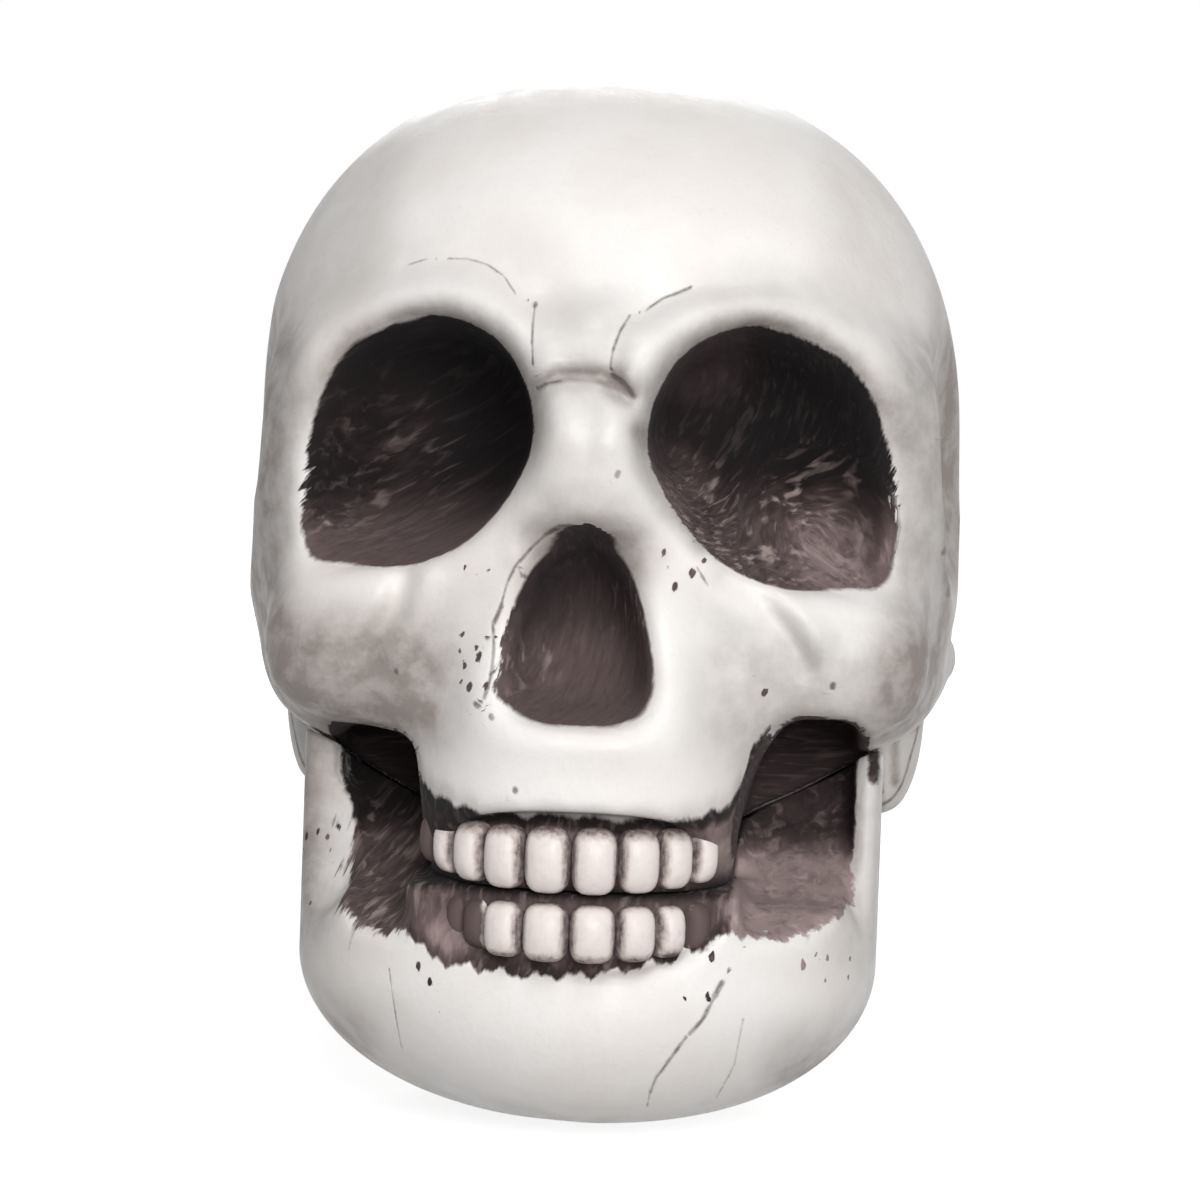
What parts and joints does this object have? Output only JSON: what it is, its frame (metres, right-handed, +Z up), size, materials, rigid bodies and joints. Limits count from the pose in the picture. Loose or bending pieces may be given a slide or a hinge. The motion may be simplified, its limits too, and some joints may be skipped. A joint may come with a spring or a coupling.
{
  "type": "decorative skull",
  "caption": "Small hollow moulded skull decoration with deep eye sockets, open nose, closed painted bite and a flat underside; cord holes at the back of the crown.",
  "frame": {"origin": "on the flat underside, where the midline plane of the cranium crosses it below the ear line", "axes": "+Z up through the crown, the face looks along -Y, +X is towards the picture's right"},
  "size_m": [0.0693, 0.086, 0.1],
  "materials": {
    "face_plastic": "satin off-white moulded plastic with a brown-black wash brushed into eye sockets, nose and cheek hollows",
    "rear_plastic": "satin off-white moulded plastic, lightly shaded with brown wash",
    "jaw_plastic": "satin off-white moulded plastic with brown-black wash round the teeth and in the cheek webs"
  },
  "bodies": {
    "root": {"face_shell": "face_plastic", "rear_shell": "rear_plastic", "lower_jaw": "jaw_plastic"}
  },
  "joints": []
}
